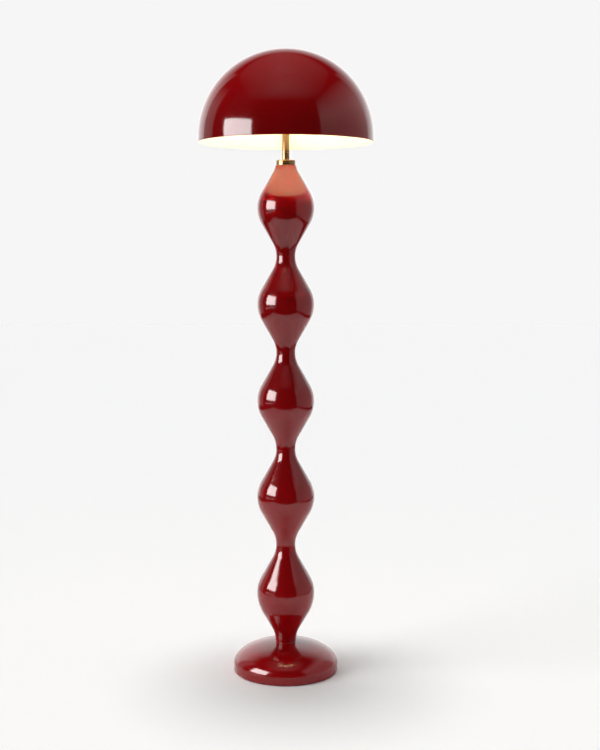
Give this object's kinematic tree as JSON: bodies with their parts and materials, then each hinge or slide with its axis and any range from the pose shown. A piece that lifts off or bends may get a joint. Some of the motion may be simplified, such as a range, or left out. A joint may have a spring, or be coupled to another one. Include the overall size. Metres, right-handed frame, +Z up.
{
  "type": "floor lamp",
  "caption": "Floor lamp with a stem of stacked turned beads on a round weighted base and a dome shade on a brass rod.",
  "frame": {"origin": "centre of the base's underside, on the floor", "axes": "+Z up along the stem; +Y towards the back, where the cord comes in; +X to the right seen from the front"},
  "size_m": [0.43, 0.43, 1.524],
  "materials": {
    "red_lacquer": "turned wood under gloss lacquer",
    "red_enamel": "spun steel, gloss red outside, satin white inside",
    "white_enamel": "satin white enamel",
    "brass": "polished and lacquered",
    "contact_brass": "drawn, bare",
    "steel": "zinc plated",
    "cast_iron": "rough cast, black primer",
    "felt": "pressed black felt",
    "black_plastic": "moulded, fine grain",
    "white_plastic": "moulded, satin",
    "ceramic": "unglazed white",
    "opal_glass": "opal, lit",
    "nickel": "nickel plated",
    "black_glass": "black glass",
    "solder": "soft solder"
  },
  "bodies": {
    "stand": {"felt_pad": "felt", "base_plate": "steel", "base_plate_screws": "steel", "base_weight": "cast_iron", "base_shell": "red_lacquer", "cord_bush": "black_plastic", "terminal_block": "white_plastic", "inner_lead": "white_plastic", "tie_tube": "steel", "base_washer": "steel", "base_nut": "steel", "bead_1": "red_lacquer", "bead_2": "red_lacquer", "bead_3": "red_lacquer", "bead_4": "red_lacquer", "bead_5": "red_lacquer", "stem_washer": "steel", "stem_nut": "steel", "collar": "brass", "rod": "brass", "lampholder_cap": "white_plastic", "cap_grub_screw": "steel", "lampholder_insulator": "ceramic", "lampholder_screw_shell": "contact_brass", "centre_contact": "contact_brass", "lampholder_skirt": "white_plastic"},
    "shade": {"shade_dome": "red_enamel", "shade_spider": "white_enamel"},
    "shade_ring": {"shade_ring": "white_plastic"},
    "bulb": {"bulb_glass": "opal_glass", "bulb_cap": "nickel", "bulb_insulator": "black_glass", "bulb_contact": "solder"}
  },
  "joints": [
    {"name": "shade_turn", "type": "hinge", "parent": "stand", "child": "shade", "pos_m": [0, 0, 1.3525], "axis": [0, 0, 1], "continuous": true},
    {"name": "shade_ring_turn", "type": "hinge", "parent": "stand", "child": "shade_ring", "pos_m": [0, 0, 1.355], "axis": [0, 0, 1], "range_deg": [0, 1080]},
    {"name": "bulb_turn", "type": "hinge", "parent": "stand", "child": "bulb", "pos_m": [0, 0, 1.36], "axis": [0, 0, 1], "range_deg": [0, 1080]}
  ]
}
